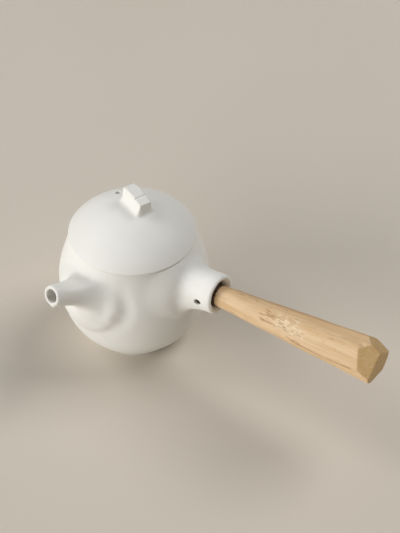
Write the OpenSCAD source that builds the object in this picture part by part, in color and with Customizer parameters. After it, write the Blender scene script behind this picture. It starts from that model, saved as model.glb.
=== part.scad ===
// Side-handled teapot (kyusu): a thrown white body with a luted spout and handle socket,
// a pierced strainer inside, a lift-off domed lid with a carved knob and a whittled wooden handle.
// Millimetres. Z is up, the base stands on z = 0 on the axis, the handle points along +X.

/* [Body] */
// Widest outside diameter of the body
body_d = 99.5; // [96:0.5:103]
// Height of the widest place
belly_z = 48; // [45:0.5:51]
// Diameter of the flat foot
foot_d = 63.5; // [58:0.5:67]
// Height of the seat that the lid rests on
seat_z = 84; // [82:0.5:87]
// Outside diameter of the shoulder at the seat
shoulder_d = 81.5; // [80.5:0.5:82.5]
// Inside diameter of the mouth
mouth_d = 71; // [68:0.5:72]
// Thickness of the thrown wall
wall = 4; // [3.5:0.1:4.5]
// Thickness of the floor
floor_t = 5; // [4:0.25:6]
// Height of the straight neck inside the mouth
neck_h = 6; // [5:0.5:8]

/* [Lid] */
// Outside diameter of the lid's edge
lid_d = 83; // [82:0.25:84]
// Height of the dome above the seat
dome_h = 20.5; // [19:0.5:22]
// Thickness of the dome
lid_wall = 3.6; // [3:0.1:4]
// Depth of the locating ring below the seat
ring_depth = 7; // [5:0.5:7.5]
// Gap all round between the locating ring and the mouth
ring_gap = 0.7; // [0.5:0.05:1]
// Diameter of the air hole in the dome
vent_d = 3.2; // [2.6:0.1:3.6]
// Distance of the air hole from the axis
vent_out = 22.5; // [21:0.5:25]
// Direction of the air hole, in degrees from the handle
vent_turn = 152; // [140:1:165]

/* [Knob] */
// Length of the knob along its top
knob_length = 20; // [18:0.5:22]
// Width of the knob along its top
knob_width = 8; // [7:0.25:9]
// Height of the knob above the dome
knob_height = 10.5; // [9:0.5:12]
// Radius of the hollow that the fingers hold, along each side
knob_hollow = 20; // [18:1:24]
// Direction of the knob, in degrees from the handle
knob_turn = -20; // [-30:1:-12]
// How far the knob was set off the axis by hand, towards the handle
knob_off_x = 1.75; // [0:0.25:3]
// How far the knob was set off the axis by hand, away from the spout
knob_off_y = 3.75; // [0:0.25:4.5]

/* [Spout] */
// Direction of the spout, in degrees from the handle
spout_turn = -98; // [-104:1:-92]
// Rise of the spout above level, in degrees
spout_rise = 25; // [23:1:28]
// Distance of the middle of the outlet from the axis
spout_reach = 70.5; // [69:0.5:73]
// Height of the middle of the outlet
spout_z = 76; // [74:0.5:78]
// Diameter of the outlet
outlet_d = 8.6; // [8:0.1:9.4]
// Length of the straight outlet
outlet_l = 10; // [8:0.5:12]
// Thickness of the lip round the outlet
lip_t = 2.4; // [2:0.1:2.8]
// Backward slope of the cut across the lip, in degrees
lip_slope = 7; // [4:1:10]
// How far the drip point stands out below the axis of the outlet
drip_r = 8.4; // [8:0.1:8.8]
// Turn of the drip point from straight down, towards the handle, in degrees
drip_turn = 18; // [12:1:25]
// Radius of the tube's root
root_r = 13.5; // [13:0.5:15]
// Distance from the lip at which the tube starts to spread towards the handle
spread_from = 10.5; // [9:0.5:12]
// How far the spreading clay leans from the tube's axis, in degrees
spread_lean = 17; // [12:1:20]
// Taper of the spreading clay on each side, in degrees
spread_taper = 18.5; // [16:0.5:21]
// Radius of the bulge that is pressed out of the belly under the spout
bulge_r = 34; // [32:0.5:36]
// How far the bulge stands out of the belly
bulge_rise = 4.5; // [4:0.1:5]
// Height of the middle of the bulge
bulge_z = 51; // [49:0.5:53]

/* [Strainer] */
// Outside radius of the strainer's dome
strainer_r = 15.5; // [14.5:0.25:15.75]
// Thickness of the strainer
strainer_t = 2.2; // [1.8:0.1:2.6]
// Diameter of each pierced hole
pierce_d = 1.9; // [1.5:0.1:2.2]
// Rings of pierced holes round the middle one
pierce_rings = 3; // [2:1:3]
// Diameter of the opening in the body behind the spout
opening_d = 20; // [18.5:0.5:21]

/* [Handle socket] */
// Rise of the handle above level, in degrees
handle_rise = 5.6; // [4:0.1:7]
// Distance of the socket's mouth from the axis
socket_reach = 69.7; // [68:0.1:72]
// Height of the middle of the socket's mouth
socket_z = 67.3; // [66:0.1:68.5]
// Diameter of the bore that holds the handle
socket_bore = 16; // [15.6:0.1:16.6]
// Outside diameter of the rounded lip
socket_d = 25.2; // [24.6:0.1:26.4]
// Radius of the flared root where it is luted to the body
socket_root_r = 15.5; // [14.5:0.5:17]

/* [Handle] */
// Length of the handle outside the socket
handle_l = 113.5; // [105:0.5:120]
// Diameter of the tenon in the bore
tenon_d = 13; // [12.4:0.1:13.4]
// Length of the tenon inside the bore
tenon_l = 16; // [14:0.5:17]
// Thickness across two opposite flats next to the socket
neck_flats = 14.2; // [13.6:0.1:15]
// Thickness across two opposite flats at the end
end_flats = 26.75; // [25:0.25:29]
// Slope of the broad knife cut across the end, in degrees
end_slope = 19; // [14:1:24]

/* [Peg] */
// Diameter of the peg that keys the handle
peg_d = 4; // [3.6:0.1:4.4]
// Distance of the peg from the socket's mouth
peg_in = 9; // [8:0.25:10]
// How deep the flat that the peg bears on is cut in the tenon's side
flat_depth = 2.6; // [2.2:0.1:3]
// How far the peg's end lies below the lip's outside diameter
peg_recess = 2; // [1.5:0.1:2.5]

/* [Part] */
// Which sub-part to draw

/* [Hidden] */
$fn = 72;
porcelain = "#ebe8e1";
wood = "#c9a473";
bamboo = "#8a6a42";
// Straight pieces that a thrown curve is divided into
steps = 9;
// Room between pieces that move past each other
free = 0.3;
// Room of the peg in its hole
slip = 0.05;
belly_r = body_d / 2;
foot_r = foot_d / 2;
shoulder_r = shoulder_d / 2;
mouth_r = mouth_d / 2;
lid_r = lid_d / 2;
dome_z = seat_z + dome_h;
lid_edge = 1.8;
outlet_r = outlet_d / 2;
bore_r = socket_bore / 2;
lip_r = socket_d / 2;
tenon_r = tenon_d / 2;
// The tenon lies on the bottom of the bore, so its axis is below the bore's axis
tenon_drop = bore_r - tenon_r - free;
flat_out = tenon_r - flat_depth;
peg_end = lip_r - peg_recess;
far = 60;

function bezier(p, t) =
    pow(1 - t, 3) * p[0] + 3 * t * pow(1 - t, 2) * p[1] + 3 * t * t * (1 - t) * p[2] + pow(t, 3) * p[3];
function thrown(p, n = steps) = [for (i = [0:n]) bezier(p, i / n)];
function without_first(p) = [for (i = [1:len(p) - 1]) p[i]];
function direction(p, i) =
    let (d = p[min(i + 1, len(p) - 1)] - p[max(i - 1, 0)]) d / norm(d);
// The same curve, moved to its left by a wall thickness
function inset(p, w) =
    [for (i = [0:len(p) - 1]) let (d = direction(p, i)) p[i] + w * [-d[1], d[0]]];
// Quarter turns of a rounded lip, from one angle to another round a centre
function rounded(c, r, a, b, n = 6) =
    [for (i = [0:n]) c + r * [cos(a + (b - a) * i / n), sin(a + (b - a) * i / n)]];

lower_curve = [
    [foot_r, 1],
    [foot_r + 0.44 * (belly_r - foot_r), 0.24 * belly_z],
    [belly_r, 0.39 * belly_z],
    [belly_r, belly_z]
];
upper_curve = [
    [belly_r, belly_z],
    [belly_r, belly_z + 0.33 * (seat_z - belly_z)],
    [shoulder_r + 0.37 * (belly_r - shoulder_r), seat_z - 0.36 * (seat_z - belly_z)],
    [shoulder_r, seat_z - 0.6]
];
outside = concat(thrown(lower_curve), without_first(thrown(upper_curve)));
inside = [for (p = inset(outside, wall)) if (p[1] > floor_t + 1 && p[1] < seat_z - neck_h - 5) p];
dome_curve = [
    [lid_r - 0.5, seat_z + lid_edge],
    [0.79 * lid_r, seat_z + 0.6 * dome_h],
    [0.42 * lid_r, dome_z],
    [0, dome_z]
];
dome = thrown(dome_curve);
hollow = [for (p = inset(dome, lid_wall)) if (p[0] > 1 && p[1] > seat_z + 0.5) p];

// The whole space inside the outer wall: the spout, socket and knob are cut to sit on it
module body_outline() {
    rotate_extrude()
        polygon(concat([[0, 0], [foot_r - 1, 0]], outside, [[shoulder_r - 0.6, seat_z], [0, seat_z]]));
}

// The space that holds the tea
module body_hollow() {
    rotate_extrude()
        polygon(concat(
            [[0, floor_t], [inside[0][0] - 2, floor_t]],
            inside,
            [[mouth_r, seat_z - neck_h], [mouth_r, seat_z + 1], [0, seat_z + 1]]
        ));
}

// Rounded bulge that the spout grows out of
module bulge() {
    rotate([0, 0, spout_turn])
        intersection() {
            translate([belly_r + bulge_rise - bulge_r, 0, bulge_z])
                sphere(r = bulge_r);
            translate([belly_r - 20, -far, 0])
                cube([far, 2 * far, seat_z - 4]);
        }
}

module dome_outline() {
    rotate_extrude()
        polygon(concat([[0, seat_z], [lid_r - 0.5, seat_z]], dome));
}

// Frame of the spout: its axis runs up the local z, and local x points to the drip side
module at_spout() {
    rotate([0, 0, spout_turn])
        translate([spout_reach, 0, spout_z])
            rotate([0, 90 - spout_rise, 0])
                children();
}

// Frame of the socket: its axis runs out along the local z, local x points down
module at_socket() {
    translate([socket_reach, 0, socket_z])
        rotate([0, 90 - handle_rise, 0])
            children();
}

module at_handle() {
    at_socket()
        translate([tenon_drop, 0, 0])
            children();
}

module pot_body() {
    color(porcelain)
        difference() {
            union() {
                body_outline();
                bulge();
            }
            body_hollow();
            // Opening behind the spout, covered by the strainer
            at_spout()
                translate([0, 0, -far])
                    cylinder(d = opening_d, h = far - outlet_l);
        }
}

// Thrown tube, cut to the body, its lip sliced back over a pared drip point
module spout() {
    tip_r = outlet_r + lip_t;
    flare = thrown([[tip_r - 0.4, 3], [tip_r + 1, -12], [tip_r + 2, -21], [root_r, -30]]);
    chamber_r = opening_d / 2 - 1;
    spread_l = 30;
    color(porcelain)
        difference() {
            at_spout()
                difference() {
                    union() {
                        rotate_extrude()
                            polygon(concat([[0, 3]], flare, [[root_r, -36], [0, -36]]));
                        // Clay drawn out from the tube's side towards the handle
                        translate([0, 0, -spread_from])
                            rotate([spread_lean, 0, 0])
                                rotate_extrude()
                                    polygon([
                                        [0, 0],
                                        [tip_r + 0.3, 0],
                                        [tip_r + 0.3 + spread_l * tan(spread_taper), -spread_l],
                                        [0, -spread_l]
                                    ]);
                        // Square corner left under the lip
                        intersection() {
                            rotate([0, 0, 45 + drip_turn])
                                translate([0, 0, -3.5])
                                    cube([drip_r * sqrt(2), drip_r * sqrt(2), 13], center = true);
                            rotate([0, 0, drip_turn])
                                translate([2, -far / 2, -far / 2])
                                    cube([far, far, far]);
                        }
                    }
                    // Slice across the lip
                    rotate([0, lip_slope, 0])
                        translate([-far / 2, -far / 2, 0])
                            cube([far, far, far]);
                }
            // Straight outlet, opening out into the chamber behind it
            at_spout()
                rotate_extrude()
                    polygon([
                        [0, 4],
                        [outlet_r, 4],
                        [outlet_r, -outlet_l],
                        [chamber_r, -24],
                        [chamber_r, -far / 2],
                        [0, -far / 2]
                    ]);
            body_outline();
            bulge();
        }
}

// Pierced dome luted over the opening, bulging into the pot
module strainer() {
    middle = belly_r - wall - 1 - spout_reach;
    color(porcelain)
        difference() {
            intersection() {
                at_spout()
                    translate([0, 0, middle])
                        difference() {
                            sphere(r = strainer_r);
                            sphere(r = strainer_r - strainer_t);
                        }
                body_hollow();
            }
            at_spout()
                translate([0, 0, middle])
                    for (ring = [0:pierce_rings])
                        for (i = [0:max(6 * ring, 1) - 1])
                            rotate([0, 0, 360 * i / max(6 * ring, 1)])
                                rotate([0, 180 - 13 * ring, 0])
                                    translate([0, 0, strainer_r - strainer_t - 1])
                                        cylinder(d = pierce_d, h = strainer_t + 2, $fn = 24);
        }
}

// Trumpet-shaped socket with a thick rounded lip and the hole for the peg
module handle_socket() {
    ring = (lip_r - bore_r) / 2;
    lip = rounded([bore_r + ring, -ring], ring, 180, 0, 8);
    flare = thrown([[lip_r, -ring], [lip_r - 0.5, -8], [lip_r, -13], [socket_root_r, -23]]);
    color(porcelain)
        difference() {
            at_socket()
                difference() {
                    rotate_extrude()
                        polygon(concat(lip, without_first(flare), [[socket_root_r, -40], [bore_r, -40]]));
                    translate([0, 0, -peg_in])
                        rotate([90, 0, 0])
                            cylinder(d = peg_d + 2 * slip, h = far);
                }
            body_outline();
        }
}

// Domed lid with a flat rim for the seat and a ring that drops into the mouth
module lid() {
    ring_r = mouth_r - ring_gap;
    color(porcelain)
        difference() {
            rotate_extrude()
                polygon(concat(
                    [
                        [ring_r - 3, seat_z - ring_depth],
                        [ring_r - 0.8, seat_z - ring_depth],
                        [ring_r, seat_z - ring_depth + 0.8],
                        [ring_r, seat_z],
                        [lid_r - 0.7, seat_z],
                        [lid_r, seat_z + 0.7],
                        [lid_r, seat_z + lid_edge - 0.6]
                    ],
                    dome,
                    [[0, dome_z - lid_wall]],
                    [for (i = [len(hollow) - 1:-1:0]) if (hollow[i][0] < ring_r - 3.5) hollow[i]],
                    [[ring_r - 3, seat_z]]
                ));
            rotate([0, 0, vent_turn])
                translate([vent_out, 0, seat_z + 4])
                    cylinder(d = vent_d, h = far);
        }
}

// Bar knob: hollowed along both sides for the fingers, its ends and top cut with a knife
module lid_knob() {
    top = dome_z + knob_height;
    color(porcelain)
        difference() {
            translate([knob_off_x, knob_off_y, 0])
                rotate([0, 0, knob_turn])
                    difference() {
                        translate([-far / 4, -far / 4, dome_z - 8])
                            cube([far / 2, far / 2, knob_height + 8]);
                        // Finger hollows along the sides
                        for (side = [-1, 1])
                            translate([0, side * (knob_width / 2 + knob_hollow), top - 1])
                                rotate([0, 90, 0])
                                    cylinder(r = knob_hollow, h = far, center = true);
                        // Ends, pared a little under
                        for (turn = [0, 180])
                            rotate([0, 0, turn])
                                translate([knob_length / 2, -far / 2, top])
                                    rotate([0, turn == 0 ? 4 : -10, 0])
                                        translate([0, 0, -far / 2])
                                            cube([far, far, far]);
                        // Slope of the top towards its front end, and a small bevel at the back
                        translate([-1, -far / 2, top])
                            rotate([0, 17, 0])
                                cube([far, far, far]);
                        translate([3 - knob_length / 2, -far / 2, top])
                            rotate([0, -14, 0])
                                translate([-far, 0, 0])
                                    cube([far, far, far]);
                    }
            dome_outline();
        }
}

// One long knife cut along the handle, at an angle round its axis
module long_cut(angle, near, end) {
    rotate([0, 0, angle])
        translate([near, -far / 2, 0])
            rotate([0, atan((end - near) / handle_l), 0])
                translate([0, 0, -far / 2])
                    cube([far, far, handle_l + far]);
}

// One cut across the end, leaning towards an angle round the axis
module end_cut(angle, slope, reach) {
    rotate([0, 0, angle])
        translate([0, 0, reach])
            rotate([0, slope, 0])
                translate([-far / 2, -far / 2, 0])
                    cube([far, far, far]);
}

// Turned blank with its eight long flats, which spread towards the end
module whittled() {
    broad = [neck_flats / 2, end_flats / 2];
    narrow = 1.1 * broad;
    difference() {
        rotate_extrude()
            polygon([
                [0, -tenon_l],
                [tenon_r - 1, -tenon_l],
                [tenon_r, 1 - tenon_l],
                [tenon_r, 0.5],
                [tenon_r + 1.8, 4],
                [end_flats * 0.7, handle_l * 0.7],
                [end_flats * 0.7, handle_l + 5],
                [0, handle_l + 5]
            ]);
        for (turn = [0, 90, 180, 270]) {
            long_cut(turn, narrow[0], narrow[1]);
            long_cut(turn + 45, broad[0], broad[1]);
        }
        // Short scoop along the top, next to the socket
        long_cut(195, neck_flats / 2 - 0.4, end_flats * 0.9);
    }
}

// Whittled handle with its sliced end, and a flat on the tenon that the peg keys
module handle() {
    color(wood)
        at_handle()
            difference() {
                whittled();
                // Broad slice towards the front and underside, then the bevels round it
                end_cut(-43, end_slope, handle_l - 2);
                end_cut(150, 52, handle_l + 8.5);
                end_cut(232, 50, handle_l + 7);
                end_cut(95, 50, handle_l + 9);
                end_cut(20, 44, handle_l + 8.5);
                // Flat for the peg, open at the tenon's inner end
                translate([-far / 2, -far - flat_out, -far - peg_in])
                    cube([far, far, far + peg_d / 2 + 2 * free]);
            }
}

// Peg pushed in from the side of the socket: its inner end bears on the flat of the tenon
module handle_peg() {
    inner = flat_out + 2 * free;
    color(bamboo)
        at_socket()
            translate([0, 0, -peg_in])
                rotate([90, 0, 0])
                    translate([0, 0, inner])
                        rotate_extrude()
                            polygon([
                                [0, 0],
                                [peg_d / 2, 0],
                                [peg_d / 2, peg_end - inner - 0.5],
                                [peg_d / 2 - 0.5, peg_end - inner],
                                [0, peg_end - inner]
                            ]);
}

pot_body();
spout();
strainer();
handle_socket();
lid();
lid_knob();
handle();
handle_peg();
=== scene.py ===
"""Side-handled teapot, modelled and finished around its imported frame.

The fired clay is thrown, luted and fused as one skin, the lid with its knob as another,
and the handle is whittled from a turned blank. Lengths in the tables are millimetres.
"""

import math

import bpy
from mathutils import Euler, Matrix, Vector, noise


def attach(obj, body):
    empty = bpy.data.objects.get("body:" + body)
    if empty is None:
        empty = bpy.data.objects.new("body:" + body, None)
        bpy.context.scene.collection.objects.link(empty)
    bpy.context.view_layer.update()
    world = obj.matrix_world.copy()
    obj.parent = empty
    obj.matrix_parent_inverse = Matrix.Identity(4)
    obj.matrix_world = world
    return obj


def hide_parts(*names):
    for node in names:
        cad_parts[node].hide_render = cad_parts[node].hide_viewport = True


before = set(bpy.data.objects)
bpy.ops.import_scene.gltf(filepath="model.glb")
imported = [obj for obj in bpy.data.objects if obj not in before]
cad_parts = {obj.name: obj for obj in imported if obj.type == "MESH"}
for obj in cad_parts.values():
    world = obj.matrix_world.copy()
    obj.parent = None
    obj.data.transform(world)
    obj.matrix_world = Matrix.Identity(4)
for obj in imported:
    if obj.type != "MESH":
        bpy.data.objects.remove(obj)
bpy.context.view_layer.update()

bl_info = {
    "name": "Side-handled teapot",
    "version": (1, 0, 0),
    "blender": (4, 5, 0),
    "location": "3D View > Sidebar > Teapot",
    "description": "Models a white side-handled teapot with its lid and whittled handle",
    "category": "Object",
}

MM = 0.001

# Body, thrown on the axis
FOOT_R, BELLY_R, SHOULDER_R, MOUTH_R = 31.75, 49.75, 40.75, 35.5
BELLY_Z, SEAT_Z, WALL, FLOOR_T, NECK_H = 48.0, 84.0, 4.0, 5.0, 6.0
GROOVE_R, PARING = 0.6, (90, 90, 20)
# Lid
LID_R, DOME_H, LID_WALL, RING_DEPTH, RING_GAP, LID_EDGE = 41.5, 20.5, 3.6, 7.0, 0.7, 1.8
RING_WALL = 3.0
VENT_R, VENT_OUT, VENT_TURN, VENT_EASE = 1.6, 22.5, 152.0, 1.2
# Knob
KNOB_L, KNOB_W, KNOB_H, KNOB_HOLLOW = 20.0, 8.0, 10.5, 20.0
KNOB_TURN, KNOB_OFF, KNOB_BLOCK, KNOB_ROOT = -20.0, (1.75, 3.75), 30.0, 7.0
# Its slices: where along the knob's top, and the angle that each one faces
KNOB_SLICES = ((KNOB_L / 2, -4), (-KNOB_L / 2, 170), (-1, 78), (3 - KNOB_L / 2, 104))
# The line incised across it: radius, place along the knob, and how deep its axis lies
INCISION_R, INCISION_AT, INCISION_DEEP = 0.9, 3.8, 0.65
# Spout
SPOUT_TURN, SPOUT_RISE, SPOUT_REACH, SPOUT_Z = -98.0, 25.0, 70.5, 76.0
OUTLET_R, TIP_R, LIP_SLOPE, DRIP_TURN = 4.3, 6.7, 7.0, 18.0
TUBE_R, TUBE_L = 7.0, 3.5
# Its lip and the edge of its outlet: how far out of the tip's or the outlet's radius, and how far along
SPOUT_LIP = ((0.15, -2), (0, -1), (-0.3, -0.5), (-0.55, -0.1), (-1, 0))
OUTLET_EDGE = ((0.6, 0), (0.15, -0.2), (0, -0.7), (0, -10))
LIP_SPAN = (-6, -0.5)
# Its inside behind the outlet and the opening through the body's wall: radius, and how far along
SPOUT_INSIDE, OPENING = ((8.2, -24), (8.2, -27)), ((8, -23.8), (8, -44))
# Drip point: how far along the spout and how far out each pull goes
DRIP_PULLS, DRIP_SIZE = ((-0.6, 1.9), (-3.5, 1.3), (-7, 0.7)), 2.8
# Roots of the spout and of the socket on the body: angle round the tube from below, how far out the clay
# is drawn, how crisp, its first flare, and how proud of the body it runs
SPOUT_ROOT = ((39, 16, 0.7, 2.0, 0), (70, 24.5, 0.58, 1.9, 0.6), (100, 28, 0.55, 0.6, 0), (130, 23, 0.5, 0.5, 0),
              (155, 13.5, 0.5, 0, 0), (185, 10.5, 0.5, 0, 0), (219, 11, 0.45, 0.3, 0), (270, 11, 0.5, 0.6, 0),
              (330, 11, 0.8, 0.3, 0))
SOCKET_ROOT = ((127, 22, 0.72, -0.8, 0.2), (155, 15, 0.75, -1.6, 0.8), (180, 13.5, 0.8, -1.8, 1.2),
               (205, 14.5, 0.78, -1.2, 2.5), (230, 17.5, 0.72, -0.4, 4), (260, 19.5, 0.66, 0, 4.2),
               (290, 20.5, 0.5, 0.3, 2.5), (307, 22, 0.42, 0.5, 1.2), (0, 21, 0.5, 0.3, 0), (60, 21, 0.5, 0, 0),
               (95, 22, 0.6, -0.4, 0))
# How a root is drawn: its straight foot and that foot's rings and spare end, the share of them that makes the
# root, how near its edge the curve flattens, and how deep its inner end goes
ROOT_SPAN, ROOT_RINGS, ROOT_SPARE, ROOT_EDGE, ROOT_FLAT, ROOT_DEEP = 30.0, 24, 8.0, 0.7, 0.35, 14.0
# The skirt round a proud root: its width, how proud the root is where it is full, and how far it sinks in
SKIRT, SKIRT_FULL, SKIRT_SINK = 14.0, 3.0, 0.3
# Where rays that look for the skin start, over a tube's mouth and out from the pot's axis, and their step
RAY_OVER, RAY_OUT, RAY_STEP = 30.0, 80.0, 0.5
BULGE_R, BULGE_RISE, BULGE_Z = 34.0, 4.5, 51.0
# What the potter's fingers left round the bulge, a crest and a groove: azimuth, height, depth
FINGER_MARKS = ((-69, 67.5, -0.3), (-67, 62.8, -0.7), (-67, 57.8, -0.9), (-70, 51.9, -1.0),
                (-76, 44.8, -0.6), (-61.5, 74, 0.3), (-59, 68, 0.6), (-57, 61.5, 0.8),
                (-57.5, 55, 0.8), (-61, 49, 0.8), (-66.5, 43.5, 0.6), (-73, 38.5, 0.4))
# How far round itself each mark draws the clay, and the middle of them all
FINGER_R, FINGERS = 7.5, Vector((22, -42, 56))
# Socket, handle and peg
HANDLE_RISE, SOCKET_REACH, SOCKET_Z = 5.6, 69.7, 67.3
BORE_R, SOCKET_R, SOCKET_NECK_R, SOCKET_L = 8.0, 13.0, 13.2, 5.0
BORE_FROM, BORE_TO = -6.0, -20.5
PEG_R, PEG_IN, PEG_INNER, PEG_END = 2.0, 9.0, 4.5, 12.5
# The peg's hole: its play, how much wider and from where to where it is worn, and its oval
HOLE_PLAY, HOLE_EASE, HOLE_FROM, HOLE_WORN, HOLE_TO, HOLE_OVAL = 0.08, 0.5, 4.0, 14.5, 17.0, (-0.1, 0.35)
# The socket's lip and opened mouth: how far back from its outside, and how deep
MOUTH = ((0, 1.9), (0.1, 1.2), (0.35, 0.6), (0.75, 0.2), (1.3, 0), (1.9, 0.1), (2.5, 0.35), (3.2, 0.9), (3.9, 1.7),
         (4.5, 2.8), (4.9, 4.2))
HANDLE_L, TENON_R, TENON_L, TENON_DROP = 113.5, 6.5, 16.0, 1.2
NECK_R, END_R, UNDERCUT_R = 7.1, 13.375, 5.0
# Long knife cuts: angle round the handle from below, and how near the axis at the neck and at the end
LONG_CUTS = ((234, 1.0, 0.985), (180, 0.97, 1.03), (132, 1.03, 1.03), (284, 0.95, 1.01), (320, 0.9, 0.94),
             (10, 1.05, 1.05), (50, 1.05, 1.05), (92, 1.05, 1.05))
# Cuts across the end: angle round the handle, lean of the cut, and where it meets the axis past the end
END_CUTS = ((20, 6, -0.7), (222, 58, 10.2), (140, 58, 10.8), (350, 50, 10.7), (80, 50, 14.5))
# Marks of use on the handle, and in the row at 160 degrees by the neck also painted shade of the top facet: kind,
# angle round it and half width, place along it and half length, strength
WEAR = (("worn", 220, 27, 53, 10, 1.0), ("worn", 234, 19, 60, 8, 0.8), ("stain", 226, 26, 40, 8, 1.15),
        ("stain", 226, 24, 54, 10, 0.7), ("stain", 268, 13, 60, 7, 0.9), ("stain", 195, 7, 52, 16, 0.8),
        ("stain", 160, 20, 14, 20, 0.7))
# The old line: from where to where along the handle, its angle, how far it bows and half its width in degrees
LINE_FROM, LINE_TO, LINE_ANGLE, LINE_BOW, LINE_HALF = 55.0, 103.0, 261.0, 13.0, 2.2
# Painted shade on the handle's top, a faint darkening carried by the line attribute: its strength, and where it comes
# up and fades round and along
PAINTED_TOP_SHADE, PAINTED_TOP_SHADE_FROM, PAINTED_TOP_SHADE_TO, PAINTED_TOP_SHADE_ALONG = 0.35, (95, 110), (152, 172), (60, 100)
# End grain, along the handle and by how far the wood faces its end, and painted shade on the tenon inside the socket
END_GRAIN, END_FACING, PAINTED_TENON_SHADE, PAINTED_TENON_SHADE_SPAN = (96, 99), (0.25, 0.45), 1.4, (-1.8, 0.2)
# Uneven knife work and torn fibres: depths, and how fine they run across and along the handle
BLADE_FROM, UNEVEN, UNEVEN_FINE = 3.0, 0.25, Vector((0.13, 0.13, 0.045))
TORN, TORN_ROUGH, TORN_FINE = 0.35, 0.6, Vector((1.1, 1.1, 0.24))
# Chip at the end's edge: place, push and size
CHIP = (-11.6, -2.8, 103.5), (0.7, 0.2, 0), 2.4
# Smoothing: its share over a whole skin, and the passes for each skin and place
SOFT_ALL, POT_PASSES, LID_PASSES, HANDLE_PASSES = 0.6, 3, 2, 14
CREASE_PASSES, SPOUT_PASSES, SOCKET_PASSES, FINGER_PASSES, KNOB_PASSES = 26, 24, 30, 20, 150
# Where it comes in or fades: down a tube's axis, out from it, and for the crevice under the spout round it
ROOT_FADE, SPOUT_FADE, SOCKET_FADE, FINGER_FADE = (8, 16), (20, 32), (30, 38), (20, 30)
CREASE_FADE, CREASE_EDGE = (12, 18), (42, 50)
CREVICE, CREVICE_TURN, CREVICE_FADE, CREVICE_EDGE = 0.9, 0.55, (0.4, 0.8), (14, 20)
KNOB_FADE, KNOB_UP, KNOB_DOWN, END_CRISP, END_FADE = (17, 23), (2, 6), (-7, -4), 0.7, (94, 101)
# Stage: floor and distance of the lamps in metres, width of their light in degrees
FLOOR_SIZE, LAMP_AWAY, LAMP_WIDTH = 60.0, 2.8, 34.0
# Wide soft lights from far off: name, the setting of its strength, azimuth, and height over the horizon
LAMPS = (("key_light", "key", -120, 15), ("front_light", "front", -90, 18),
         ("back_light", "back", 60, 50), ("left_light", "left", -160, 45))
# Camera: place in metres, turn in degrees, and focus over a picture's height in pixels
CAMERA_AT, CAMERA_TURN = (0.362806, -0.442085, 0.605191), (45.93723, -0.57474, 35.55632)
FOCUS, PICTURE_H, SENSOR_H = 1200, 533, 36


def linear(code):
    """Linear RGBA of an sRGB hex colour."""
    parts = [int(code[i:i + 2], 16) / 255 for i in (1, 3, 5)]
    return (*[c / 12.92 if c <= 0.04045 else ((c + 0.055) / 1.055) ** 2.4 for c in parts], 1.0)


def add_node(tree, kind, settings=None, inputs=None):
    """Adds one shader node. An input is a value, or a (node, output) pair that is linked to it."""
    node = tree.nodes.new("ShaderNode" + kind)
    for name, value in (settings or {}).items():
        setattr(node, name, value)
    for socket, value in (inputs or {}).items():
        if isinstance(value, tuple) and isinstance(value[0], bpy.types.Node):
            tree.links.new(value[0].outputs[value[1]], node.inputs[socket])
        else:
            node.inputs[socket].default_value = value
    return node


def new_material(name):
    """An empty node material with its output and its surface shader."""
    material = bpy.data.materials.new(name)
    material.use_nodes = True
    tree = material.node_tree
    tree.nodes.clear()
    shader = add_node(tree, "BsdfPrincipled")
    add_node(tree, "OutputMaterial", inputs={"Surface": (shader, "BSDF")})
    return material, tree, shader


def cubic(controls, t):
    """Point at a share t of the way along one curve."""
    a, b, c, d = controls
    return (1 - t) ** 3 * a + 3 * t * (1 - t) ** 2 * b + 3 * t * t * (1 - t) * c + t ** 3 * d


def bezier(points, steps):
    """Points along one thrown curve."""
    controls = [Vector(p) for p in points]
    return [cubic(controls, i / steps) for i in range(steps + 1)]


def inset(curve, wall):
    """The same curve, moved to its left by a wall thickness."""
    moved = []
    for i, point in enumerate(curve):
        along = (curve[min(i + 1, len(curve) - 1)] - curve[max(i - 1, 0)]).normalized()
        moved.append(point + wall * Vector((-along.y, along.x)))
    return moved


OUTSIDE = bezier((
    (FOOT_R, 1), (FOOT_R + 0.44 * (BELLY_R - FOOT_R), 0.24 * BELLY_Z),
    (BELLY_R, 0.39 * BELLY_Z), (BELLY_R, BELLY_Z),
), 12) + bezier((
    (BELLY_R, BELLY_Z), (BELLY_R, BELLY_Z + 0.33 * (SEAT_Z - BELLY_Z)),
    (SHOULDER_R + 0.37 * (BELLY_R - SHOULDER_R), SEAT_Z - 0.36 * (SEAT_Z - BELLY_Z)),
    (SHOULDER_R, SEAT_Z - 0.6),
), 12)[1:]
DOME = bezier((
    (LID_R - 0.5, SEAT_Z + LID_EDGE), (0.79 * LID_R, SEAT_Z + 0.6 * DOME_H),
    (0.42 * LID_R, SEAT_Z + DOME_H), (0, SEAT_Z + DOME_H),
), 14)


def around(angle, out=1, height=0):
    """Place at an angle in degrees round an axis, so far out from it and so high."""
    turned = math.radians(angle)
    return Vector((out * math.cos(turned), out * math.sin(turned), height))


def move_by(place):
    """A move by millimetres."""
    return Matrix.Translation(Vector(place) * MM)


def turn_by(x, y, z):
    """A turn by degrees."""
    return Euler([math.radians(angle) for angle in (x, y, z)]).to_matrix().to_4x4()


def leaning(turn, rise, reach, height):
    """Frame whose z runs outwards and up, as the spout's and the socket's axes do."""
    return move_by(around(turn, reach, height)) @ turn_by(0, 90 - rise, turn)


AT_SPOUT = leaning(SPOUT_TURN, SPOUT_RISE, SPOUT_REACH, SPOUT_Z)
AT_SOCKET = leaning(0, HANDLE_RISE, SOCKET_REACH, SOCKET_Z)
AT_HANDLE = AT_SOCKET @ move_by((TENON_DROP, 0, 0))
AT_PEG = AT_SOCKET @ move_by((0, 0, -PEG_IN)) @ turn_by(90, 0, 0)
AT_KNOB = move_by((*KNOB_OFF, 0)) @ turn_by(0, 0, KNOB_TURN)


def make_active(piece):
    """Leaves one object selected and active, in object mode."""
    if bpy.context.mode != "OBJECT":
        bpy.ops.object.mode_set(mode="OBJECT")
    bpy.ops.object.select_all(action="DESELECT")
    piece.select_set(True)
    bpy.context.view_layer.objects.active = piece


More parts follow.
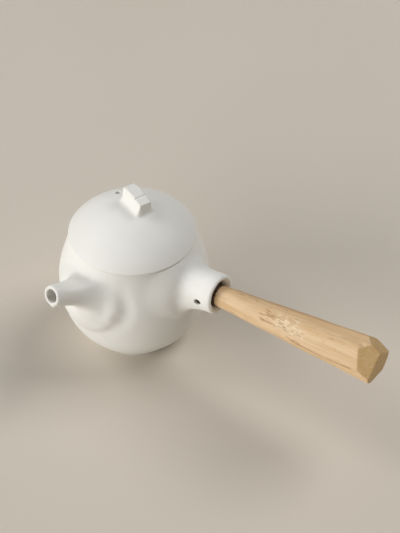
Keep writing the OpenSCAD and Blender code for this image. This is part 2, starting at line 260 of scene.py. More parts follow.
def start(piece, name):
    """Names a new primitive and puts its place in its mesh."""
    piece.name = piece.data.name = name
    bpy.ops.object.transform_apply(location=True, rotation=True, scale=True)
    return piece


def block(name, centre, size):
    """A square block, to carve or to cut with."""
    bpy.ops.object.select_all(action="DESELECT")
    bpy.ops.mesh.primitive_cube_add(size=1, location=[c * MM for c in centre], scale=Vector(size) * MM)
    return start(bpy.context.object, name)


def throw(name, rings, segments=96):
    """Throws a closed round form on the axis: a circle is drawn up from ring to ring."""
    bpy.ops.object.select_all(action="DESELECT")
    radius, height = rings[0]
    bpy.ops.mesh.primitive_circle_add(vertices=segments, radius=radius * MM, location=(0, 0, height * MM))
    piece = start(bpy.context.object, name)
    bpy.ops.object.mode_set(mode="EDIT")
    bpy.ops.mesh.select_all(action="SELECT")
    for next_radius, next_height in rings[1:]:
        bpy.ops.mesh.extrude_region_move(
            TRANSFORM_OT_translate={"value": (0, 0, (next_height - height) * MM)})
        grow = next_radius / radius
        bpy.ops.transform.resize(value=(grow, grow, 1), center_override=(0, 0, next_height * MM))
        radius, height = next_radius, next_height
    bpy.ops.mesh.select_all(action="SELECT")
    bpy.ops.mesh.fill_holes(sides=0)
    bpy.ops.mesh.normals_make_consistent(inside=False)
    bpy.ops.object.mode_set(mode="OBJECT")
    return piece


def put(piece, place):
    """Moves a piece to its place and keeps the place in its mesh."""
    make_active(piece)
    piece.matrix_world = place
    bpy.ops.object.transform_apply(location=True, rotation=True, scale=True)
    return piece


def apply_modifier(piece, kind, **settings):
    """Adds a modifier with its settings and applies it."""
    make_active(piece)
    modifier = piece.modifiers.new(kind.title(), kind)
    for name, value in settings.items():
        setattr(modifier, name, value)
    bpy.ops.object.modifier_apply(modifier=modifier.name)


def fuse(piece, others, voxel):
    """Lutes closed forms together into one skin."""
    make_active(piece)
    for other in others:
        other.select_set(True)
    if others:
        bpy.ops.object.join()
    apply_modifier(piece, "REMESH", mode="VOXEL", voxel_size=voxel * MM)


def cut(piece, tool):
    """Cuts a tool's form out of a piece, and takes the tool away."""
    apply_modifier(piece, "BOOLEAN", operation="DIFFERENCE", object=tool, solver="MANIFOLD")
    bpy.data.objects.remove(tool)


def slice_off(piece, point, normal):
    """Slices off what lies beyond a plane and closes the cut."""
    make_active(piece)
    bpy.ops.object.mode_set(mode="EDIT")
    bpy.ops.mesh.select_all(action="SELECT")
    bpy.ops.mesh.bisect(plane_co=Vector(point) * MM, plane_no=normal, use_fill=True, clear_outer=True)
    bpy.ops.object.mode_set(mode="OBJECT")


def soften(piece, weight, passes):
    """Smooths the skin where weight, a function of a place and its normal, is above nothing."""
    group = piece.vertex_groups.new(name="soft")
    for vertex in piece.data.vertices:
        share = weight(vertex.co, vertex.normal)
        if share > 0.01:
            group.add([vertex.index], min(share, 1), "REPLACE")
    apply_modifier(piece, "SMOOTH", factor=0.5, iterations=passes, vertex_group="soft")
    piece.vertex_groups.clear()


def press(piece, point, push, size, falloff="SMOOTH"):
    """Presses the skin at one point, and the clay or wood round it follows within a size."""
    make_active(piece)
    place = Vector(point) * MM
    bpy.ops.object.mode_set(mode="EDIT")
    bpy.ops.mesh.select_all(action="DESELECT")
    bpy.ops.object.mode_set(mode="OBJECT")
    nearest = min(piece.data.vertices, key=lambda vertex: (vertex.co - place).length_squared)
    nearest.select = True
    bpy.ops.object.mode_set(mode="EDIT")
    bpy.ops.transform.translate(
        value=Vector(push) * MM, use_proportional_edit=True, proportional_edit_falloff=falloff,
        proportional_size=size * MM)
    bpy.ops.object.mode_set(mode="OBJECT")


def ramp(value, low, high):
    """0 at low, 1 at high, eased between them."""
    t = min(max((value - low) / (high - low), 0), 1)
    return t * t * (3 - 2 * t)


def bell(value, centre, half):
    """1 near a centre, fading to 0 past half a width."""
    return 1 - ramp(abs(value - centre), 0.5 * half, 1.2 * half)


def mark(piece, name, share):
    """Stores a share of a mark at every vertex, for the finish to use."""
    layer = piece.data.attributes.new(name, "FLOAT", "POINT")
    for vertex in piece.data.vertices:
        layer.data[vertex.index].value = share(vertex.co / MM, vertex.normal)


def on_skin(piece, azimuth, height):
    """Point of a piece's outside, in millimetres, and the way straight in from it."""
    bpy.context.view_layer.update()
    found, point, normal, _ = piece.ray_cast(around(azimuth, RAY_OUT, height) * MM, -around(azimuth))
    if not found:
        raise RuntimeError(f"No skin at azimuth {azimuth}, height {height}")
    return point / MM, -normal


def eased_row(table, angle):
    """Values of a table of angles, eased from row to row all the way round."""
    rows = sorted(table)
    rows.append((rows[0][0] + 360, *rows[0][1:]))
    angle = (angle - rows[0][0]) % 360 + rows[0][0]
    for low, high in zip(rows, rows[1:]):
        if angle <= high[0]:
            share = ramp(angle, low[0], high[0])
            return [a + share * (b - a) for a, b in zip(low[1:], high[1:])]


def foot_rings(radius, length):
    """Straight rings at the foot of a tube, from the inner end up, which draw_root then draws out."""
    return [(radius, -length - ROOT_SPAN - ROOT_SPARE)] + [
        (radius, -length - ROOT_SPAN * i / ROOT_RINGS) for i in range(ROOT_RINGS, -1, -1)]


def draw_root(piece, place, skins, radius, length, table):
    """Draws the straight foot of a tube out onto the skins under it, further at some angles than at others."""
    bpy.context.view_layer.update()
    inwards = place.to_3x3() @ Vector((0, 0, -1))
    known = {}

    def on_skins(turned, out):
        """Place on the skins beside the tube's axis, as (out, height) in the tube's frame."""
        while out > 0:
            origin = place @ (Vector((out * math.cos(turned), out * math.sin(turned), RAY_OVER)) * MM)
            hits = [skin.ray_cast(origin, inwards) for skin in skins]
            heights = [RAY_OVER - (hit[1] - origin).length / MM for hit in hits if hit[0]]
            if heights:
                return Vector((out, max(heights)))
            out -= RAY_STEP
        raise RuntimeError("The tube has no skin under it")

    def controls(turned):
        """The root's curve at one angle, and how proud it runs there."""
        reach, straight, flare, proud = eased_row(table, math.degrees(turned))
        first, corner, last = Vector((radius, -length)), on_skins(turned, radius), on_skins(turned, reach)
        near = on_skins(turned, last.x + (radius - last.x) * (ROOT_FLAT + (1 - ROOT_FLAT) * straight))
        second = first.lerp(corner, straight) + Vector((flare, 0))
        return (first, second, near + Vector((0, proud)), last + Vector((0, proud))), proud

    for vertex in piece.data.vertices:
        out, along = vertex.co.xy.length / MM, vertex.co.z / MM
        if abs(out - radius) > 0.01 or along > -length + 0.01:
            continue
        turned = math.atan2(vertex.co.y, vertex.co.x)
        key = round(turned, 3)
        if key not in known:
            known[key] = controls(turned)
        curve, proud = known[key]
        edge = curve[-1]
        t = (-length - along) / ROOT_SPAN / ROOT_EDGE
        if along < -length - ROOT_SPAN - 1:
            spot = Vector((0.9 * edge.x, edge.y - ROOT_DEEP))
        elif t > 1:
            # Skirt that runs out from the root's edge into the skin
            share = (t - 1) / (1 / ROOT_EDGE - 1)
            spot = on_skins(turned, edge.x + share * SKIRT * min(proud / SKIRT_FULL, 1)) + Vector((
                0, proud * (1 - ramp(share, 0, 1)) - SKIRT_SINK * share))
        else:
            spot = cubic(curve, t)
        vertex.co = Vector((spot.x * math.cos(turned), spot.x * math.sin(turned), spot.y)) * MM


def root_weight(place, fade):
    """Weight, for soften, of the outside of a tube's root: it fades away from the tube's axis."""
    to_tube = place.inverted()

    def weight(co, normal):
        local = to_tube @ co / MM
        if (to_tube.to_3x3() @ normal).xy.dot(local.xy.normalized()) < -0.3:
            return 0
        return ramp(-local.z, *ROOT_FADE) * (1 - ramp(local.xy.length, *fade))

    return weight


def finish_piece(piece, name, body, material, replaced, angle=40):
    """Names a finished piece, gives it its material and hands it to the frame."""
    make_active(piece)
    piece.name = piece.data.name = name
    bpy.ops.object.shade_smooth_by_angle(angle=math.radians(angle))
    piece.data.materials.clear()
    piece.data.materials.append(material)
    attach(piece, body)
    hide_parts(*replaced)


def porcelain(settings):
    """Unglazed white porcelain, thrown and polished dry: matte, a little warm, with a faint fine tooth."""
    known = bpy.data.materials.get("Matte_white_porcelain")
    if known:
        return known
    material, tree, shader = new_material("Matte_white_porcelain")
    place = add_node(tree, "TexCoord")
    # Slow drift of the white, patches of about 30 mm
    drift = add_node(tree, "TexNoise", inputs={
        "Vector": (place, "Object"), "Scale": 1 / 0.030, "Detail": 2.0, "Roughness": 0.5})
    tint = add_node(tree, "Mix", {"data_type": "RGBA"}, {
        0: (drift, "Fac"), 6: (*settings.clay_shade, 1), 7: (*settings.clay_white, 1)})
    tree.links.new(tint.outputs[2], shader.inputs["Base Color"])
    # Fine tooth of the bare clay, drawn at 0.9 mm so that it shows
    tooth = add_node(tree, "TexNoise", inputs={
        "Vector": (place, "Object"), "Scale": 1 / 0.0009, "Detail": 3.0, "Roughness": 0.6})
    bump = add_node(tree, "Bump", inputs={
        "Height": (tooth, "Fac"), "Strength": 0.10, "Distance": 0.0002})
    tree.links.new(bump.outputs["Normal"], shader.inputs["Normal"])
    shader.inputs["Roughness"].default_value = 0.55
    shader.inputs["IOR"].default_value = 1.5
    return material


def beech(settings):
    """Bare light hardwood, cut with a knife along the grain: warm tan, fine streaks, open pores and handling marks,
    with painted shade on its top and on its tenon.
    """
    material, tree, shader = new_material("Knife_cut_beech")
    place = add_node(tree, "TexCoord")
    # Turned so that x runs along the handle
    grain = add_node(tree, "Mapping", {"vector_type": "POINT"}, {
        "Vector": (place, "Object"), "Rotation": (0, math.radians(HANDLE_RISE), 0)})
    long_grain = add_node(tree, "Mapping", {"vector_type": "POINT"}, {
        "Vector": (grain, "Vector"), "Scale": (0.04, 1, 1)})
    # Growth bands about 4 mm apart
    bands = add_node(tree, "TexNoise", inputs={
        "Vector": (long_grain, "Vector"), "Scale": 1 / 0.004, "Detail": 3.0, "Roughness": 0.6})
    banded = add_node(tree, "MapRange", inputs={"Value": (bands, "Fac"), 1: 0.35, 2: 0.65})
    tint = add_node(tree, "Mix", {"data_type": "RGBA"}, {
        0: (banded, "Result"), 6: (*settings.wood_shade, 1), 7: (*settings.wood_light, 1)})
    # Fibres, drawn 0.8 mm apart so that they show
    fibres = add_node(tree, "TexNoise", inputs={
        "Vector": (long_grain, "Vector"), "Scale": 1 / 0.0008, "Detail": 2.0, "Roughness": 0.6})
    fibre_share = add_node(tree, "MapRange", inputs={"Value": (fibres, "Fac"), 1: 0.45, 2: 0.7, 4: 0.6})
    tint = add_node(tree, "Mix", {"data_type": "RGBA"}, {
        0: (fibre_share, "Result"), 6: (tint, 2), 7: (*settings.wood_fibre, 1)})
    # Pores: dashes about 3 mm long, drawn coarser than the wood's own so that they show
    dashes = add_node(tree, "Mapping", {"vector_type": "POINT"}, {
        "Vector": (grain, "Vector"), "Scale": (0.2, 1, 1)})
    pores = add_node(tree, "TexNoise", inputs={
        "Vector": (dashes, "Vector"), "Scale": 1 / 0.0011, "Detail": 1.0, "Roughness": 0.4})
    # Stains are darker, denser streaks where the handle was bruised and handled; on the top by the neck they also
    # paint the shade of that facet
    stain = add_node(tree, "Attribute", {"attribute_name": "stain"})
    reach = add_node(tree, "MapRange", inputs={"Value": (stain, "Fac"), 3: 0.70, 4: 0.50})
    over = add_node(tree, "Math", {"operation": "SUBTRACT"}, {0: (pores, "Fac"), 1: (reach, "Result")})
    pore_share = add_node(tree, "MapRange", inputs={"Value": (over, "Value"), 1: 0.0, 2: 0.12, 4: 0.6})
    tint = add_node(tree, "Mix", {"data_type": "RGBA"}, {
        0: (pore_share, "Result"), 6: (tint, 2), 7: (*settings.wood_stain_and_shade, 1)})
    # Torn, paler fibres in the worn patch
    worn = add_node(tree, "Attribute", {"attribute_name": "worn"})
    pale = add_node(tree, "MapRange", inputs={"Value": (fibres, "Fac"), 1: 0.3, 2: 0.6})
    torn = add_node(tree, "Math", {"operation": "MULTIPLY"}, {0: (worn, "Fac"), 1: (pale, "Result")})
    tint = add_node(tree, "Mix", {"data_type": "RGBA"}, {
        0: (torn, "Value"), 6: (tint, 2), 7: (*settings.wood_torn, 1)})
    # Dirt in the hollows between the torn fibres, in dashes drawn 0.7 mm apart so that they show
    hatch = add_node(tree, "TexNoise", inputs={
        "Vector": (dashes, "Vector"), "Scale": 1 / 0.0007, "Detail": 2.0, "Roughness": 0.5})
    hollows = add_node(tree, "MapRange", inputs={"Value": (hatch, "Fac"), 1: 0.48, 2: 0.66, 4: 0.8})
    dirty = add_node(tree, "Math", {"operation": "MULTIPLY"}, {0: (worn, "Fac"), 1: (hollows, "Result")})
    tint = add_node(tree, "Mix", {"data_type": "RGBA"}, {
        0: (dirty, "Value"), 6: (tint, 2), 7: (*settings.wood_line_dirt_and_top_shade, 1)})
    # Old knife line along the lower edge and, through the same attribute and colour, painted shade on the handle's top
    line = add_node(tree, "Attribute", {"attribute_name": "line"})
    tint = add_node(tree, "Mix", {"data_type": "RGBA"}, {
        0: (line, "Fac"), 6: (tint, 2), 7: (*settings.wood_line_dirt_and_top_shade, 1)})
    # End grain, which drinks in the oil of the hand and stays darker
    end = add_node(tree, "Attribute", {"attribute_name": "end"})
    mottled = add_node(tree, "MapRange", inputs={"Value": (pores, "Fac"), 1: 0.3, 2: 0.7, 3: 0.45, 4: 0.95})
    end_share = add_node(tree, "Math", {"operation": "MULTIPLY"}, {0: (end, "Fac"), 1: (mottled, "Result")})
    tint = add_node(tree, "Mix", {"data_type": "RGBA"}, {
        0: (end_share, "Value"), 6: (tint, 2), 7: (*settings.wood_end, 1)})
    # Painted shade: the tenon inside the socket is darkened to stand for the dark gap round it
    soaked = add_node(tree, "Attribute", {"attribute_name": "soaked"})
    painted_tenon_shade_share = add_node(tree, "Math", {"operation": "MULTIPLY", "use_clamp": True}, {
        0: (soaked, "Fac"), 1: (mottled, "Result")})
    tint = add_node(tree, "Mix", {"data_type": "RGBA"}, {
        0: (painted_tenon_shade_share, "Value"), 6: (tint, 2), 7: (*settings.wood_painted_tenon_shade, 1)})
    tree.links.new(tint.outputs[2], shader.inputs["Base Color"])
    bump = add_node(tree, "Bump", inputs={"Height": (fibres, "Fac"), "Strength": 0.25, "Distance": 0.0003})
    tree.links.new(bump.outputs["Normal"], shader.inputs["Normal"])
    shader.inputs["Roughness"].default_value = 0.62
    return material


def bamboo(settings):
    """Bamboo split into a peg, with straight fibres, coloured near black as painted shade for the dark hole it sits
    in.
    """
    material, tree, shader = new_material("Smoked_bamboo")
    place = add_node(tree, "TexCoord")
    fibres = add_node(tree, "Mapping", {"vector_type": "POINT"}, {
        "Vector": (place, "Object"), "Scale": (1, 0.08, 1)})
    streaks = add_node(tree, "TexNoise", inputs={
        "Vector": (fibres, "Vector"), "Scale": 1 / 0.0006, "Detail": 2.0})
    tint = add_node(tree, "Mix", {"data_type": "RGBA"}, {
        0: (streaks, "Fac"), 6: (*settings.peg_painted_shade_dark, 1), 7: (*settings.peg_painted_shade_light, 1)})
    tree.links.new(tint.outputs[2], shader.inputs["Base Color"])
    shader.inputs["Roughness"].default_value = 0.5
    return material


def floor_finish(settings):
    """Smooth plaster slab, rolled matte: even and pale, it shows the soft shadow."""
    material, tree, shader = new_material("Pale_plaster")
    place = add_node(tree, "TexCoord")
    cloud = add_node(tree, "TexNoise", inputs={
        "Vector": (place, "Object"), "Scale": 1 / 0.25, "Detail": 2.0})
    tint = add_node(tree, "Mix", {"data_type": "RGBA"}, {
        0: (cloud, "Fac"), 6: (*settings.floor_shade, 1), 7: (*settings.floor_light, 1)})
    tree.links.new(tint.outputs[2], shader.inputs["Base Color"])
    shader.inputs["Roughness"].default_value = 0.9
    return material


def colour_property(name, description, code):
    """One colour that a user may change."""
    return bpy.props.FloatVectorProperty(
        name=name, description=description, subtype="COLOR", size=3, min=0, max=1, default=linear(code)[:3])


class TeapotClay(bpy.types.PropertyGroup):
    """Sizes and colours of the fired clay."""
    clay_white: colour_property("White", "Lighter white of the clay", "#F1F0EA")
    clay_shade: colour_property("Shade", "Slightly darker white of the clay", "#EBE9E2")
    skin: bpy.props.FloatProperty(
        name="Skin", description="Size of the faces of the pot's skin", default=0.75 * MM, unit="LENGTH")
    lid_skin: bpy.props.FloatProperty(
        name="Lid skin", description="Size of the faces of the lid's skin", default=0.5 * MM, unit="LENGTH")


class TeapotWood(bpy.types.PropertyGroup):
    """Sizes and colours of the handle and its peg."""
    wood_light: colour_property("Light wood", "Lighter bands of the handle", "#E5C8A0")
    wood_shade: colour_property("Dark wood", "Darker bands of the handle", "#D4B184")
    wood_fibre: colour_property("Fibres", "Fine darker fibres of the handle", "#CDA678")
    # Also darkens the top by the neck as painted shade
    wood_stain_and_shade: colour_property("Stain", "Pores and bruised streaks of the handle", "#94683B")
    wood_torn: colour_property("Torn fibres", "Paler fibres in the worn patch", "#ECD6B4")
    # Also the colour of the painted shade on the handle's top
    wood_line_dirt_and_top_shade: colour_property("Knife line", "Old line along the lower edge", "#A57A48")
    wood_end: colour_property("End grain", "Cut end of the handle", "#C29E64")
    # Dark brown: painted shade on the tenon inside the socket
    wood_painted_tenon_shade: colour_property("Soaked wood", "Tenon, darkened by damp", "#4A3220")
    # Near black: painted shade for the peg deep in its hole
    peg_painted_shade_light: colour_property("Light bamboo", "Lighter fibres of the peg", "#3A2A1C")
    peg_painted_shade_dark: colour_property("Dark bamboo", "Darker fibres of the peg", "#1E1510")
    skin: bpy.props.FloatProperty(
        name="Skin", description="Size of the faces of the handle's skin", default=0.5 * MM, unit="LENGTH")


class TeapotStage(bpy.types.PropertyGroup):
    """Floor and light."""
    floor_light: colour_property("Floor", "Lighter tone of the floor", "#D8CFC2")
    floor_shade: colour_property("Floor shade", "Darker tone of the floor", "#D2C8BA")
    key: bpy.props.FloatProperty(
        name="Key", description="Strength of the low soft light on the left", default=1.52)
    front: bpy.props.FloatProperty(
        name="Front", description="Strength of the soft light in front", default=0.8)
    back: bpy.props.FloatProperty(
        name="Back", description="Strength of the soft light behind", default=1.51)
    left: bpy.props.FloatProperty(
        name="Left", description="Strength of the soft light on the far left", default=0.89)
    fill: bpy.props.FloatProperty(
        name="Fill", description="Strength of the light all round", default=0.02)


class TEAPOT_OT_throw_pot(bpy.types.Operator):
    """Throws the body, lutes on the spout and the socket, and hollows them"""
    bl_idname = "teapot.throw_pot"
    bl_label = "Throw the pot"

    def execute(self, context):
        settings = context.scene.teapot_clay
        pot = throw("pot", [
            (FOOT_R - 1, -2), (FOOT_R - 1, 0), *OUTSIDE, (SHOULDER_R - 0.6, SEAT_Z), (SHOULDER_R - 0.6, SEAT_Z + 2)])
        # Bulge pressed out of the belly under the spout
        bpy.ops.object.select_all(action="DESELECT")
        bpy.ops.mesh.primitive_uv_sphere_add(
            segments=96, ring_count=64, radius=BULGE_R * MM,
            location=around(SPOUT_TURN, BELLY_R + BULGE_RISE - BULGE_R, BULGE_Z) * MM)
        bulge = start(bpy.context.object, "bulge")
        slice_off(bulge, (0, 0, SEAT_Z - 4), (0, 0, 1))
        # Spout: drawn up outside, over the lip and down the outlet, and its foot out onto the bulge
        spout = throw("spout", [
            *foot_rings(TUBE_R, TUBE_L), *[(TIP_R + out, along) for out, along in SPOUT_LIP],
            *[(OUTLET_R + out, along) for out, along in OUTLET_EDGE], *SPOUT_INSIDE])
        draw_root(spout, AT_SPOUT, (pot, bulge), TUBE_R, TUBE_L, SPOUT_ROOT)
        # Drip point pared under the lip
        for along, pull in DRIP_PULLS:
            press(spout, around(DRIP_TURN, TUBE_R, along), around(DRIP_TURN, pull), DRIP_SIZE, "SHARP")
        # Lip sliced back over the drip point
        for vertex in spout.data.vertices:
            share = ramp(vertex.co.z / MM, *LIP_SPAN)
            vertex.co.z -= vertex.co.x * math.tan(math.radians(LIP_SLOPE)) * share
        put(spout, AT_SPOUT)
        # Socket: drawn up outside, over the lip, in through its opened mouth and down the bore
        mouth = [(SOCKET_R - back, -deep) for back, deep in MOUTH]
        socket = throw("socket", [
            *foot_rings(SOCKET_NECK_R, SOCKET_L), *mouth, (BORE_R, BORE_FROM), (BORE_R, BORE_TO)])
        draw_root(socket, AT_SOCKET, (pot,), SOCKET_NECK_R, SOCKET_L, SOCKET_ROOT)
        put(socket, AT_SOCKET)
        fuse(pot, [bulge, spout, socket], settings.skin / MM)
        self.smooth(pot)
        # Seat and foot, pared flat
        for middle in (-PARING[2] / 2, SEAT_Z + PARING[2] / 2):
            cut(pot, block("paring", (0, 0, middle), PARING))
        # Groove under the lid's edge
        bpy.ops.object.select_all(action="DESELECT")
        bpy.ops.mesh.primitive_torus_add(
            major_segments=192, minor_segments=24, major_radius=SHOULDER_R * MM, minor_radius=GROOVE_R * MM,
            location=(0, 0, SEAT_Z * MM))
        cut(pot, start(bpy.context.object, "groove"))
        # Inside, hollowed to an even wall, with its mouth eased
        inside = [p for p in inset(OUTSIDE, WALL) if FLOOR_T + 1 < p.y < SEAT_Z - NECK_H - 5]
        cut(pot, throw("hollow", [
            (inside[0].x - 2, FLOOR_T), *inside, (MOUTH_R, SEAT_Z - NECK_H), (MOUTH_R, SEAT_Z - 0.8),
            (MOUTH_R + 0.25, SEAT_Z - 0.25), (MOUTH_R + 0.8, SEAT_Z), (MOUTH_R + 0.8, SEAT_Z + 2)]))
        cut(pot, put(throw("opening", OPENING, 64), AT_SPOUT))
        # Hole for the peg, worn oval at its mouth
        hole = throw("peg_hole", [
            (PEG_R + HOLE_PLAY, HOLE_FROM), (PEG_R + HOLE_PLAY, PEG_END),
            (PEG_R + HOLE_EASE, HOLE_WORN), (PEG_R + HOLE_EASE, HOLE_TO)], 32)
        for vertex in hole.data.vertices:
            worn = ramp(vertex.co.z / MM, PEG_END - 0.5, HOLE_WORN)
            vertex.co.x *= 1 + HOLE_OVAL[0] * worn
            vertex.co.y *= 1 + HOLE_OVAL[1] * worn
        cut(pot, put(hole, AT_PEG))
        finish_piece(pot, "teapot_clay", "pot", porcelain(settings),
                     ("pot_body", "spout", "handle_socket"))
        return {"FINISHED"}

    def smooth(self, pot):
        """Rubs the joins down and leaves the marks of the fingers round the bulge."""
        to_spout = AT_SPOUT.inverted()
        spout_root = root_weight(AT_SPOUT, SPOUT_FADE)

        def crisp(local):
            """The crevice under the tube, which no finger reached."""
            return CREVICE * ramp(math.cos(math.atan2(local.y, local.x) - CREVICE_TURN), *CREVICE_FADE)

        def crease(co, normal):
            """The bulge's edge, rubbed down lightly."""
            local = to_spout @ co / MM
            out = math.hypot(local.x, local.y)
            kept = crisp(local) * (1 - ramp(out, *CREVICE_EDGE))
            return ramp(-local.z, *CREASE_FADE) * (1 - ramp(out, *CREASE_EDGE)) * (1 - kept)

        soften(pot, lambda co, normal: SOFT_ALL, POT_PASSES)
        soften(pot, crease, CREASE_PASSES)
        soften(pot, lambda co, normal: spout_root(co, normal) * (1 - crisp(to_spout @ co / MM)), SPOUT_PASSES)
        soften(pot, root_weight(AT_SOCKET, SOCKET_FADE), SOCKET_PASSES)
        for azimuth, height, deep in FINGER_MARKS:
            point, inwards = on_skin(pot, azimuth, height)
            press(pot, point, inwards * deep, FINGER_R)
        soften(pot, lambda co, normal: 1 - ramp((co / MM - FINGERS).length, *FINGER_FADE), FINGER_PASSES)


class TEAPOT_OT_throw_lid(bpy.types.Operator):
    """Throws the lid, carves its knob and lutes it on, and bores the air hole"""
    bl_idname = "teapot.throw_lid"
    bl_label = "Throw the lid"

    def execute(self, context):
        settings = context.scene.teapot_clay
        ring_r = MOUTH_R - RING_GAP
        lid = throw("lid_skin", [
            (ring_r - 0.8, SEAT_Z - RING_DEPTH), (ring_r, SEAT_Z - RING_DEPTH + 0.8), (ring_r, SEAT_Z),
            (LID_R - 0.5, SEAT_Z), (LID_R, SEAT_Z + 0.5), (LID_R, SEAT_Z + LID_EDGE - 0.6),
            *[p for p in DOME if p.x > 0.5], (0.6, SEAT_Z + DOME_H)])
        knob = self.carve_knob()
        fuse(lid, [knob], settings.lid_skin / MM)
        to_knob = AT_KNOB.inverted()
        top = SEAT_Z + DOME_H

        def root(co, normal):
            """Where the knob runs out into the dome."""
            local = to_knob @ co / MM
            near = 1 - ramp(math.hypot(local.x, local.y), *KNOB_FADE)
            return near * (1 - ramp(local.z - top, *KNOB_UP)) * ramp(local.z - top, *KNOB_DOWN)

        soften(lid, lambda co, normal: SOFT_ALL, LID_PASSES)
        soften(lid, root, KNOB_PASSES)
        inner = ring_r - RING_WALL
        hollow = [p for p in inset(DOME, LID_WALL) if 1 < p.x < inner - 0.5 and p.y > SEAT_Z + 0.5]
        cut(lid, throw("lid_hollow", [
            (inner, SEAT_Z - RING_DEPTH - 1), (inner, SEAT_Z), *hollow, (0.6, top - LID_WALL)]))
        vent = throw("vent", [
            (VENT_R, SEAT_Z + 4), (VENT_R, top - 5.2), (VENT_R + VENT_EASE, top - 3.4), (VENT_R + VENT_EASE, top)], 32)
        cut(lid, put(vent, move_by(around(VENT_TURN, VENT_OUT))))
        # Line incised across the knob
        line = throw("incision", [(INCISION_R, -KNOB_L / 2), (INCISION_R, KNOB_L / 2)], 32)
        deep = top + KNOB_H - INCISION_DEEP
        cut(lid, put(line, AT_KNOB @ move_by((INCISION_AT, 0, deep)) @ turn_by(90, 0, 0)))
        finish_piece(lid, "lid_clay", "lid", porcelain(settings), ("lid", "lid_knob"))
        return {"FINISHED"}

    def carve_knob(self):
        """A block of clay, hollowed along both sides and sliced at its ends and over its top."""
        base, top = SEAT_Z + DOME_H - KNOB_ROOT, SEAT_Z + DOME_H + KNOB_H
        knob = block("knob", (0, 0, (base + top) / 2), (KNOB_BLOCK, KNOB_BLOCK, top - base))
        for side in (-1, 1):
            tool = throw("finger", [(KNOB_HOLLOW, -KNOB_BLOCK), (KNOB_HOLLOW, KNOB_BLOCK)])
            beside = side * (KNOB_W / 2 + KNOB_HOLLOW)
            cut(knob, put(tool, move_by((0, beside, top - 1)) @ turn_by(0, 90, 0)))
        for along, faces in KNOB_SLICES:
            turned = math.radians(faces)
            slice_off(knob, (along, 0, top), (math.cos(turned), 0, math.sin(turned)))
        return put(knob, AT_KNOB)


class TEAPOT_OT_pierce_strainer(bpy.types.Operator):
    """Gives the pierced strainer behind the spout its clay finish"""
    bl_idname = "teapot.pierce_strainer"
    bl_label = "Finish the strainer"

    def execute(self, context):
        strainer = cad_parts["strainer"]
        strainer.data.materials.clear()
        strainer.data.materials.append(porcelain(context.scene.teapot_clay))
        return {"FINISHED"}


class TEAPOT_OT_whittle_handle(bpy.types.Operator):
    """Whittles the handle from a turned blank, cut by cut"""
    bl_idname = "teapot.whittle_handle"
    bl_label = "Whittle the handle"

    def execute(self, context):
        settings = context.scene.teapot_wood
        handle = throw("blank", [
            (TENON_R - 1, -TENON_L), (TENON_R, 1 - TENON_L), (TENON_R, -4), (UNDERCUT_R, -3.4), (UNDERCUT_R, -1.7),
            (0.88 * NECK_R, -1.6), (0.96 * NECK_R, -1.1), (NECK_R, -0.2), (1.05 * NECK_R, 5),
            (1.1 * END_R, HANDLE_L), (1.1 * END_R, HANDLE_L + 6)], 64)
        for angle, at_neck, at_end in LONG_CUTS:
            lean = math.atan((at_end * END_R - at_neck * NECK_R) / HANDLE_L)
            slice_off(handle, around(angle, at_neck * NECK_R), around(angle, math.cos(lean), -math.sin(lean)))
        for angle, slope, past in END_CUTS:
            lean = math.radians(slope)
            slice_off(handle, (0, 0, HANDLE_L + past), around(angle, math.sin(lean), math.cos(lean)))
        fuse(handle, [], settings.skin / MM)
        soften(handle, lambda co, normal: 1 - END_CRISP * ramp(co.z / MM, *END_FADE), HANDLE_PASSES)
        press(handle, *CHIP)
        self.wear(handle)
        put(handle, AT_HANDLE)
        finish_piece(handle, "handle_wood", "handle", beech(settings), ("handle",), 60)
        return {"FINISHED"}

    def wear(self, handle):
        """Leaves the knife's unevenness and the worn patch in the wood, and marks them for its finish, with painted
        shade on the handle's top and on the tenon.
        """

        def spots(name):
            """Share of all the marks of one kind."""
            def share(co, normal):
                turned = math.degrees(math.atan2(co.y, co.x)) % 360
                return max(bell(turned, angle, wide) * bell(co.z, along, half) * strength
                           for kind, angle, wide, along, half, strength in WEAR if kind == name)
            return share

        def knife_line_and_top_shade(co, normal):
            """The old line and, fainter, painted shade on the handle's top."""
            past = ramp(co.z, LINE_FROM, LINE_FROM + 4) * (1 - ramp(co.z, LINE_TO - 3, LINE_TO))
            bow = math.sin(math.pi * (co.z - LINE_FROM) / (LINE_TO - LINE_FROM))
            turned = math.degrees(math.atan2(co.y, co.x)) % 360
            painted_top_shade = ramp(turned, *PAINTED_TOP_SHADE_FROM) * (1 - ramp(turned, *PAINTED_TOP_SHADE_TO)) * (1 - ramp(co.z, *PAINTED_TOP_SHADE_ALONG))
            return max(past * bell(turned, LINE_ANGLE + LINE_BOW * bow, LINE_HALF), PAINTED_TOP_SHADE * painted_top_shade)

        worn = spots("worn")
        normals = [vertex.normal.copy() for vertex in handle.data.vertices]
        for vertex, normal in zip(handle.data.vertices, normals):
            co = vertex.co / MM
            if co.z > BLADE_FROM:
                uneven = UNEVEN * noise.noise(co * UNEVEN_FINE)
                torn = worn(co, normal) * (TORN + TORN_ROUGH * noise.noise(co * TORN_FINE))
                vertex.co += normal * (uneven - torn) * MM
        mark(handle, "worn", worn)
        # Stains, with painted shade on the top by the neck
        mark(handle, "stain", spots("stain"))
        # The line attribute holds the old knife line and the painted shade on the handle's top
        mark(handle, "line", knife_line_and_top_shade)
        mark(handle, "end", lambda co, normal: ramp(co.z, *END_GRAIN) * ramp(normal.z, *END_FACING))
        # Painted shade on the tenon, strongest inside the socket
        mark(handle, "soaked", lambda co, normal: PAINTED_TENON_SHADE * (1 - ramp(co.z, *PAINTED_TENON_SHADE_SPAN)))


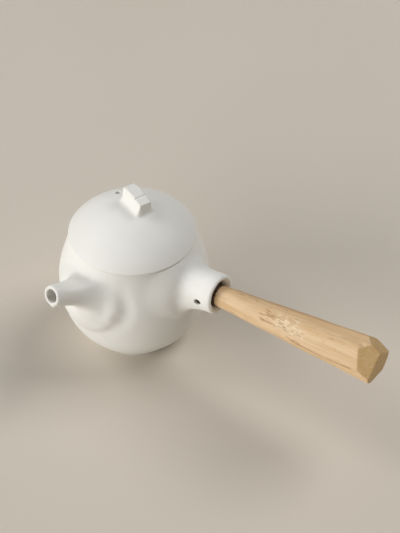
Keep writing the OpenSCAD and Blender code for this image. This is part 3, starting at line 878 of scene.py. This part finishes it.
class TEAPOT_OT_cut_peg(bpy.types.Operator):
    """Splits the bamboo peg and rounds its ends"""
    bl_idname = "teapot.cut_peg"
    bl_label = "Cut the peg"

    def execute(self, context):
        settings = context.scene.teapot_wood
        peg = throw("peg_blank", [(PEG_R - 0.3, PEG_INNER), (PEG_R, PEG_INNER + 0.3), (PEG_R, PEG_END - 0.6),
                                  (PEG_R - 0.2, PEG_END - 0.2), (PEG_R - 0.7, PEG_END)], 32)
        put(peg, AT_PEG)
        finish_piece(peg, "peg_bamboo", "peg", bamboo(settings), ("handle_peg",))
        return {"FINISHED"}


class TEAPOT_OT_set_stage(bpy.types.Operator):
    """Lays a pale floor, sets soft light from the left and puts up the camera"""
    bl_idname = "teapot.set_stage"
    bl_label = "Set the stage"

    def execute(self, context):
        scene, settings = context.scene, context.scene.teapot_stage
        bpy.ops.object.select_all(action="DESELECT")
        bpy.ops.mesh.primitive_plane_add(size=FLOOR_SIZE)
        floor = start(bpy.context.object, "floor")
        floor.data.materials.append(floor_finish(settings))
        for name, strength, azimuth, height in LAMPS:
            aim = Euler((0, math.radians(90 - height), math.radians(azimuth)))
            place = aim.to_matrix() @ Vector((0, 0, LAMP_AWAY))
            bpy.ops.object.light_add(type="SUN", location=place, rotation=aim)
            lamp = bpy.context.object
            lamp.name = name
            lamp.data.angle, lamp.data.energy = math.radians(LAMP_WIDTH), getattr(settings, strength)
        world = bpy.data.worlds.new("studio")
        world.use_nodes = True
        back = world.node_tree.nodes["Background"]
        back.inputs["Color"].default_value = linear("#FBFBF8")
        back.inputs["Strength"].default_value = settings.fill
        scene.world = world
        bpy.ops.object.camera_add(location=CAMERA_AT, rotation=[math.radians(angle) for angle in CAMERA_TURN])
        camera = bpy.context.object
        camera.name = "camera"
        camera.data.sensor_fit, camera.data.sensor_height = "VERTICAL", SENSOR_H
        camera.data.lens = FOCUS * SENSOR_H / PICTURE_H
        scene.camera = camera
        scene.view_settings.view_transform = "Standard"
        return {"FINISHED"}


class TEAPOT_PT_pieces(bpy.types.Panel):
    """Lists the teapot's pieces"""
    bl_label = "Teapot"
    bl_idname = "TEAPOT_PT_pieces"
    bl_space_type = "VIEW_3D"
    bl_region_type = "UI"
    bl_category = "Teapot"

    def draw(self, context):
        for group in (context.scene.teapot_clay, context.scene.teapot_wood, context.scene.teapot_stage):
            for name in group.__annotations__:
                self.layout.prop(group, name)
        for operator in OPERATORS:
            self.layout.operator(operator.bl_idname)


GROUPS = {"teapot_clay": TeapotClay, "teapot_wood": TeapotWood, "teapot_stage": TeapotStage}
OPERATORS = (TEAPOT_OT_set_stage, TEAPOT_OT_throw_pot, TEAPOT_OT_throw_lid, TEAPOT_OT_pierce_strainer,
             TEAPOT_OT_whittle_handle, TEAPOT_OT_cut_peg)


def register():
    """Adds the settings, the operators and the panel."""
    for group in GROUPS.values():
        bpy.utils.register_class(group)
    for name, group in GROUPS.items():
        setattr(bpy.types.Scene, name, bpy.props.PointerProperty(type=group))
    for operator in OPERATORS:
        bpy.utils.register_class(operator)
    bpy.utils.register_class(TEAPOT_PT_pieces)


def unregister():
    """Takes them away again."""
    bpy.utils.unregister_class(TEAPOT_PT_pieces)
    for operator in reversed(OPERATORS):
        bpy.utils.unregister_class(operator)
    for name, group in GROUPS.items():
        delattr(bpy.types.Scene, name)
        bpy.utils.unregister_class(group)


def main():
    """Makes every piece in order."""
    register()
    bpy.ops.teapot.set_stage()
    bpy.ops.teapot.throw_pot()
    bpy.ops.teapot.throw_lid()
    bpy.ops.teapot.pierce_strainer()
    bpy.ops.teapot.whittle_handle()
    bpy.ops.teapot.cut_peg()


if __name__ == "__main__":
    main()
